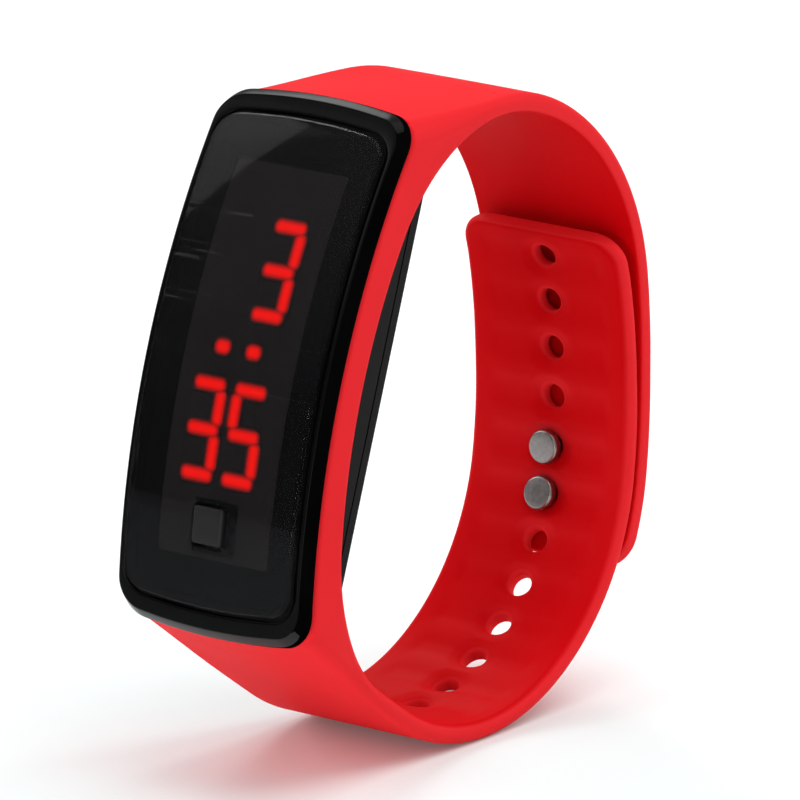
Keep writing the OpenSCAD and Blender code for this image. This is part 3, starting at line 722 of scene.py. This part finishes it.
def make_lit():
    """The lit bars with a soft halo: their glow is kept on the mesh and falls off across the edge."""
    step, halo, under_lens, thick, far = 0.1, 0.42, LENS_T - 0.04, 0.03, 9.0
    us = np.arange(-5.8, 5.4, step)
    vs = np.arange(DISPLAY_V - ROW_PITCH / 2 - DIGIT_H / 2 - 1,
                   DISPLAY_V + ROW_PITCH / 2 + DIGIT_H / 2 + 1, step)
    u, v = np.meshgrid(us, vs, indexing="ij")
    near = np.full(u.shape, far)
    for cu, cv, w, h in lit_bars():
        bar = round_max(np.abs(u - cu) - w / 2, np.abs(v - cv) - h / 2, 0.45 * min(w, h))
        near = np.minimum(near, bar)
    glow = smooth_step(0.5 - near / (2 * halo))
    bm = bmesh.new()
    layer = bm.verts.layers.float.new("glow")
    verts = {}

    def vert(i, j):
        if (i, j) not in verts:
            made = bm.verts.new(dial_point(us[i], vs[j], under_lens))
            made[layer] = glow[i, j]
            verts[i, j] = made
        return verts[i, j]

    lit_up = near < halo
    for i, j in np.argwhere(lit_up[:-1, :-1] | lit_up[1:, 1:] | lit_up[1:, :-1] | lit_up[:-1, 1:]):
        bm.faces.new((vert(i, j), vert(i + 1, j), vert(i + 1, j + 1), vert(i, j + 1)))
    under = bmesh.ops.extrude_face_region(bm, geom=list(bm.faces), use_keep_orig=True)
    shift = on_case(0, 0, -thick) - on_case(0, 0, 0)
    for item in under["geom"]:
        if isinstance(item, bmesh.types.BMVert):
            item.co += shift
    return finish_mesh("lit_bars", bm)


def lathe(bm, s, profile, steps=48):
    """A turned piece square to the band; each profile point is (radius, distance outward)."""
    loops = []
    y, z, h = at(s)
    along, out = heading_vector(h), outward(h)
    for radius, d in profile:
        loop = []
        for a in np.linspace(0, 2 * math.pi, steps, endpoint=False):
            yz = np.array([y, z]) + radius * math.cos(a) * along + d * out
            loop.append(bm.verts.new(row(radius * math.sin(a), yz)))
        loops.append(loop)
    bridge(bm, loops)
    bm.faces.new(loops[0])
    bm.faces.new(loops[-1])


def make_studs():
    r = HEAD_D / 2
    under = INNER_IN - HEAD_GAP
    face_d = under - HEAD_T
    rim, bevel, sunk = 0.28, 0.12, 0.1
    head = [(POST_D / 2, BAND_T - sunk), (POST_D / 2, under), (r - bevel, under), (r, under - bevel)]
    head += [(r, face_d + rim)]
    head += [(r - rim + rim * math.cos(a), face_d + rim - rim * math.sin(a))
             for a in np.linspace(0.3, math.pi / 2, 5)]
    head += [(0.35 * r, face_d - 0.015), (0.02, face_d - 0.02)]
    bm = bmesh.new()
    for s in STUDS:
        lathe(bm, s, head)
    return finish_mesh("studs", bm, sharp=50)


def make_plate():
    middle = (UPPER_STUD + LOWER_STUD) / 2
    length, corner_r, proud, edge_r = HOLE_PITCH + 2 * PLATE_PAST, 1.0, 0.02, 0.2
    outer = square_path(PLATE_W, length, corner_r, middle, steps=10)

    def place(x, s, depth):
        return on_band(s, x, BAND_T - depth)

    profile = [(0.0, PLATE_T)] + edge_round(0.0, -proud, edge_r)
    holes = [square_path(POST_D, POST_D, POST_D / 2 - 0.001, s, steps=8) for s in STUDS]
    return bowed_plate("stud_plate", outer, holes, profile, place=place)


# Materials

def new_material(name):
    mat = bpy.data.materials.new(name)
    mat.use_nodes = True
    nodes, links = mat.node_tree.nodes, mat.node_tree.links
    shader = nodes["Principled BSDF"]
    coords = nodes.new("ShaderNodeTexCoord")
    return mat, nodes, links, shader, coords


def noise(nodes, links, coords, scale, detail=4.0, roughness=0.55):
    node = nodes.new("ShaderNodeTexNoise")
    node.inputs["Scale"].default_value = scale
    node.inputs["Detail"].default_value = detail
    node.inputs["Roughness"].default_value = roughness
    links.new(coords.outputs["Object"], node.inputs["Vector"])
    return node


def two_tone(nodes, links, factor, low, high, start=0.35, stop=0.65):
    """A colour ramp between two colours, driven by a factor."""
    ramp = nodes.new("ShaderNodeValToRGB")
    ramp.color_ramp.elements[0].position = start
    ramp.color_ramp.elements[1].position = stop
    ramp.color_ramp.elements[0].color = (*low, 1)
    ramp.color_ramp.elements[1].color = (*high, 1)
    links.new(factor, ramp.inputs["Fac"])
    return ramp.outputs["Color"]


def spread(nodes, links, factor, low, high):
    node = nodes.new("ShaderNodeMapRange")
    node.inputs["To Min"].default_value = low
    node.inputs["To Max"].default_value = high
    links.new(factor, node.inputs["Value"])
    return node.outputs["Result"]


def bump(nodes, links, shader, height, strength, distance):
    node = nodes.new("ShaderNodeBump")
    node.inputs["Strength"].default_value = strength
    node.inputs["Distance"].default_value = distance
    links.new(height, node.inputs["Height"])
    links.new(node.outputs["Normal"], shader.inputs["Normal"])


def surface(name, low, high, roughness, metallic=0.0, bump_size=0.00002, specular=0.5):
    """A procedural surface: colour and roughness vary a little, over a fine grain."""
    mat, nodes, links, shader, coords = new_material(name)
    broad = noise(nodes, links, coords, scale=135.0)
    fine = noise(nodes, links, coords, scale=900.0)
    links.new(two_tone(nodes, links, broad.outputs["Fac"], low, high), shader.inputs["Base Color"])
    links.new(spread(nodes, links, fine.outputs["Fac"], *roughness), shader.inputs["Roughness"])
    shader.inputs["Metallic"].default_value = metallic
    shader.inputs["Specular IOR Level"].default_value = specular
    bump(nodes, links, shader, fine.outputs["Fac"], 0.25, bump_size)
    return mat


def silicone():
    mat, nodes, links, shader, coords = new_material("red_silicone")
    broad = noise(nodes, links, coords, 60.0, 2.0)
    fine = noise(nodes, links, coords, 5200.0, 3.0)
    tone = broad.outputs["Fac"]
    # Painted light and shade: the silicone's red is painted lighter and pinker on the outside and
    # rims, where light falls, and darker inside the loop, where shade falls
    painted_light_outside = two_tone(nodes, links, tone, (0.78, 0.018, 0.024), (0.82, 0.022, 0.028), 0.3, 0.7)
    inside = two_tone(nodes, links, tone, (0.62, 0.0008, 0.003), (0.66, 0.0012, 0.004), 0.3, 0.7)
    # Painted shade: the side towards the wrist, inside the loop, is painted a darker, deeper red than
    # the outside and the rims, which are painted a lighter, pinker red: the mesh's normal is compared
    # with the direction from the loop's middle
    vector = coords.outputs["Object"]
    for operation, value in (("SUBTRACT", (0, 0, LOOP_Z * MM)), ("MULTIPLY", (0, 1, 1)),
                             ("NORMALIZE", None)):
        node = nodes.new("ShaderNodeVectorMath")
        node.operation = operation
        if value:
            node.inputs[1].default_value = value
        links.new(vector, node.inputs[0])
        vector = node.outputs["Vector"]
    facing = nodes.new("ShaderNodeVectorMath")
    facing.operation = "DOT_PRODUCT"
    links.new(vector, facing.inputs[0])
    links.new(coords.outputs["Normal"], facing.inputs[1])
    shade_mix = nodes.new("ShaderNodeMapRange")
    shade_mix.interpolation_type = "SMOOTHSTEP"
    shade_mix.inputs["From Min"].default_value = -0.99
    shade_mix.inputs["From Max"].default_value = -0.6
    links.new(facing.outputs["Value"], shade_mix.inputs["Value"])
    colour = nodes.new("ShaderNodeMix")
    colour.data_type = "RGBA"
    # Inputs 0, 6 and 7 are the factor and the two colours, and output 2 is the mixed colour
    links.new(shade_mix.outputs["Result"], colour.inputs[0])
    links.new(inside, colour.inputs[6])
    links.new(painted_light_outside, colour.inputs[7])
    links.new(colour.outputs[2], shader.inputs["Base Color"])
    links.new(spread(nodes, links, fine.outputs["Fac"], 0.50, 0.58), shader.inputs["Roughness"])
    shader.inputs["Specular IOR Level"].default_value = 0.03
    bump(nodes, links, shader, fine.outputs["Fac"], 0.12, 0.00001)
    return mat


def lens_glass():
    mat, nodes, links, shader, coords = new_material("tinted_glass")
    smear = noise(nodes, links, coords, 90.0, 3.0)
    low, high = (0.0035, 0.0035, 0.004), (0.0055, 0.0055, 0.006)
    colour = two_tone(nodes, links, smear.outputs["Fac"], low, high)
    links.new(colour, shader.inputs["Base Color"])
    links.new(spread(nodes, links, smear.outputs["Fac"], 0.015, 0.03), shader.inputs["Roughness"])
    shader.inputs["Specular IOR Level"].default_value = 0.13
    shader.inputs["Alpha"].default_value = 0.45
    return mat


def lit():
    """Lit resin: the mesh's glow drives it from the dark window's colour to full red."""
    mat, nodes, links, shader, coords = new_material("lit_red")
    glow = nodes.new("ShaderNodeAttribute")
    glow.attribute_name = "glow"
    grain = noise(nodes, links, coords, 1500.0)
    dark, red_resin = (0.03, 0.024, 0.024), (0.6, 0.0, 0.0)
    colour = two_tone(nodes, links, glow.outputs["Fac"], dark, red_resin, 0.1, 0.9)
    links.new(colour, shader.inputs["Base Color"])
    shader.inputs["Emission Color"].default_value = (1.0, 0.003, 0.0, 1)
    bright = nodes.new("ShaderNodeMath")
    bright.operation = "MULTIPLY"
    links.new(glow.outputs["Fac"], bright.inputs[0])
    links.new(spread(nodes, links, grain.outputs["Fac"], 2.5, 2.7), bright.inputs[1])
    links.new(bright.outputs["Value"], shader.inputs["Emission Strength"])
    shader.inputs["Roughness"].default_value = 0.5
    return mat


def stud_metal():
    mat, nodes, links, shader, coords = new_material("stud_metal")
    brushed = noise(nodes, links, coords, 2500.0, 6.0)
    colour = two_tone(nodes, links, brushed.outputs["Fac"], (0.27, 0.24, 0.235), (0.34, 0.305, 0.30))
    links.new(colour, shader.inputs["Base Color"])
    links.new(spread(nodes, links, brushed.outputs["Fac"], 0.26, 0.40), shader.inputs["Roughness"])
    shader.inputs["Metallic"].default_value = 1.0
    bump(nodes, links, shader, brushed.outputs["Fac"], 0.15, 0.00002)
    return mat


def dress_frame():
    """Gives each kept CAD node its material."""
    case = surface("case_black", (0.006, 0.0042, 0.0042), (0.008, 0.006, 0.006), (0.45, 0.55),
                   specular=0.08)
    seal = surface("seal_black", (0.01, 0.01, 0.01), (0.02, 0.02, 0.02), (0.6, 0.7))
    film_bump = 0.000002
    mask = surface("mask_black", (0.004, 0.004, 0.004), (0.006, 0.006, 0.006), (0.3, 0.4),
                   specular=0.01, bump_size=film_bump)
    window = surface("window_grey", (0.070, 0.057, 0.058), (0.080, 0.065, 0.066), (0.5, 0.6),
                     specular=0.01, bump_size=film_bump)
    dark_led = surface("dark_led", (0.070, 0.056, 0.056), (0.080, 0.064, 0.064), (0.5, 0.6),
                       specular=0.01, bump_size=film_bump)
    grey = surface("display_grey", (0.03, 0.03, 0.03), (0.05, 0.05, 0.05), (0.5, 0.6))
    tin = surface("tinned", (0.6, 0.6, 0.6), (0.72, 0.72, 0.72), (0.25, 0.4), metallic=1.0)
    steel = surface("cell_steel", (0.5, 0.5, 0.51), (0.62, 0.62, 0.63), (0.22, 0.35), metallic=1.0)
    board = surface("board_green", (0.004, 0.03, 0.014), (0.008, 0.045, 0.02), (0.3, 0.45))
    resin = surface("resin_black", (0.01, 0.01, 0.01), (0.02, 0.02, 0.02), (0.2, 0.35))
    tan = surface("ceramic_tan", (0.35, 0.22, 0.12), (0.42, 0.28, 0.16), (0.5, 0.6))
    white = surface("frame_white", (0.62, 0.62, 0.59), (0.7, 0.7, 0.67), (0.4, 0.55))
    gold = surface("contact_gold", (0.62, 0.42, 0.14), (0.75, 0.55, 0.22), (0.25, 0.35), metallic=1.0)
    looks = {
        "lens_gasket": mask, "mask_film": mask, "window_film": window,
        "unlit_segments": dark_led, "display_body": grey, "display_pins": tin, "main_board": board,
        "chip_blob": resin, "crystal_can": tin, "resistors": resin, "capacitors": tan,
        "tact_switch": resin, "switch_plunger": resin, "positive_contact": gold,
        "negative_contact": gold, "bridge_contact": tin, "upper_cell": steel, "lower_cell": steel,
        "battery_frame": white, "case_gasket": seal, "inner_case": case, "back_gasket": seal,
        "back_cover": case, "back_screws": steel,
    }
    for node, mat in looks.items():
        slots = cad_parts[node].data.materials
        slots.clear()
        slots.append(mat)


def give(obj, mat, body, slot_name, *nodes):
    """Gives a piece its material, the CAD nodes it replaces and the body it rides on. Its slot name is
    not used.
    """
    obj.data.materials.append(mat)
    if nodes:
        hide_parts(*nodes)
    if body:
        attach(obj, body)


dress_frame()
black_gloss = surface("black_gloss", (0.0015, 0.0015, 0.0015), (0.0025, 0.0025, 0.0025), (0.2, 0.26),
                      specular=0.05)
black_polish = surface("black_polish", (0.002, 0.002, 0.002), (0.003, 0.003, 0.003), (0.16, 0.22),
                       specular=0.3)
black_matt = surface("black_matt", (0.0012, 0.0012, 0.0012), (0.002, 0.002, 0.002), (0.4, 0.5),
                     specular=0.0)
button_black = surface("button_black", (0.011, 0.0105, 0.0105), (0.014, 0.0135, 0.0135), (0.35, 0.45),
                       specular=0.1)
red = silicone()
metal = stud_metal()

with_tail, with_holes = band_outlines()
outer_band = band_piece("band_with_tail", with_tail, True)
inner_band = band_piece("band_with_holes", with_holes, False)
give(outer_band, red, None, "silicone_red", "strap_sleeve", "strap_tail")
give(inner_band, red, None, "silicone_red", "strap_holed_end", "hole_rims")
on_band(TAIL_START - BEND, 0, BAND_T / 2)
on_band(TAIL_START + BEND, 0, BAND_T / 2)
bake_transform(outer_band)
on_band(FLEX_AT + BEND, 0, INNER_IN / 2)
on_band(FLEX_AT - BEND, 0, INNER_IN / 2)
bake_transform(inner_band)

bezel = make_bezel()
give(bezel, black_gloss, "case", "bezel_gloss", "front_bezel")
for mat in (black_polish, black_matt):
    bezel.data.materials.append(mat)
give(make_lens(), lens_glass(), "case", "lens_glass", "lens")
give(make_lit(), lit(), "case", "led_lit", "lit_segments")
give(make_button(), button_black, "button", "bezel_gloss", "button_cap")
give(make_studs(), metal, "tail", "stud_steel", "clasp_studs")
give(make_plate(), metal, "tail", "stud_steel", "clasp_plate")


# Floor, light and camera

def make_floor():
    bm = bmesh.new()
    size, drop, signs = 6.0, 0.00005, ((-1, -1), (1, -1), (1, 1), (-1, 1))
    bm.faces.new([bm.verts.new((x * size, y * size, -drop)) for x, y in signs])
    floor = finish_mesh("floor", bm)
    mat = bpy.data.materials.new("pale_floor")
    mat.use_nodes = True
    nodes, links = mat.node_tree.nodes, mat.node_tree.links
    shader = nodes["Principled BSDF"]
    shader.inputs["Base Color"].default_value = (0.85, 0.92, 0.92, 1)
    shader.inputs["Roughness"].default_value = 0.9
    shader.inputs["Specular IOR Level"].default_value = 0.1
    # Seen straight from the camera, the floor is lifted a little towards the white of the world
    path = nodes.new("ShaderNodeLightPath")
    lift = nodes.new("ShaderNodeMath")
    lift.operation = "MULTIPLY"
    lift.inputs[1].default_value = 0.04
    links.new(path.outputs["Is Camera Ray"], lift.inputs[0])
    shader.inputs["Emission Color"].default_value = (1, 1, 1, 1)
    links.new(lift.outputs["Value"], shader.inputs["Emission Strength"])
    floor.data.materials.append(mat)


def area_light(name, place, target_z, size, power, roll):
    """A rectangular light that looks at a point above the floor's middle."""
    data = bpy.data.lights.new(name, "AREA")
    data.shape = "RECTANGLE"
    data.size, data.size_y = size
    data.energy = power
    lamp = bpy.data.objects.new(name, data)
    lamp.location = place
    aim = (Vector((0, 0, target_z)) - Vector(place)).to_track_quat("-Z", "Y")
    lamp.rotation_euler = (aim @ Quaternion((0, 0, 1), math.radians(roll))).to_euler()
    bpy.context.scene.collection.objects.link(lamp)


def make_world():
    world = bpy.data.worlds.new("studio")
    bpy.context.scene.world = world
    world.use_nodes = True
    nodes, links = world.node_tree.nodes, world.node_tree.links
    background = nodes["Background"]
    background.inputs["Color"].default_value = (1, 1, 1, 1)
    # Brighter overhead than at the horizon
    coords = nodes.new("ShaderNodeTexCoord")
    parts = nodes.new("ShaderNodeSeparateXYZ")
    links.new(coords.outputs["Generated"], parts.inputs["Vector"])
    rise = nodes.new("ShaderNodeMapRange")
    rise.interpolation_type = "SMOOTHSTEP"
    rise.inputs["From Min"].default_value = 0.1
    rise.inputs["From Max"].default_value = 0.7
    rise.inputs["To Min"].default_value = 0.16
    rise.inputs["To Max"].default_value = 0.62
    links.new(parts.outputs["Z"], rise.inputs["Value"])
    links.new(rise.outputs["Result"], background.inputs["Strength"])


def make_camera():
    azimuth, elevation, distance = math.radians(39), math.radians(14.91), 1007.73
    back = Vector((math.sin(azimuth) * math.cos(elevation), -math.cos(azimuth) * math.cos(elevation),
                   math.sin(elevation)))
    right = Vector((math.cos(azimuth), math.sin(azimuth), 0))
    up = back.cross(right)
    dial = on_case(0, 0, 0)
    # The picture's middle lies right of and below the middle of the dial
    aim = dial + (15.7 * right - 3.9 * up) * MM
    data = bpy.data.cameras.new("camera")
    data.sensor_width = 36
    data.lens = 481.2
    data.clip_start, data.clip_end = 0.05, 50
    camera = bpy.data.objects.new("camera", data)
    camera.location = dial + back * distance * MM
    camera.rotation_euler = (aim - camera.location).to_track_quat("-Z", "Y").to_euler()
    bpy.context.scene.collection.objects.link(camera)
    bpy.context.scene.camera = camera


make_floor()
make_world()
make_camera()
for light in (
    ("top_box", (0.15, 0.15, 1.0), 0.03, (1.0, 0.9), 5.0, 0.0),
    ("key_box", (0.72, -0.85, 0.5), 0.04, (0.8, 0.7), 0.5, 0.0),
    ("right_box", (0.55, 0.85, 0.5), 0.05, (0.6, 0.6), 3.4, 0.0),
    ("back_box", (-0.8, 0.6, 0.85), 0.05, (0.5, 0.45), 3.6, 0.0),
    # This one is mirrored in the lens, and its roll sets the edge of the sheen
    ("left_box", (-0.965, -0.524, 0.62), 0.05, (0.5, 0.45), 2.2, 10.0),
    ("low_box", (0.05, -1.0, 0.12), 0.02, (0.6, 0.25), 3.9, 0.0),
):
    area_light(*light)
bpy.context.scene.view_settings.view_transform = "Standard"
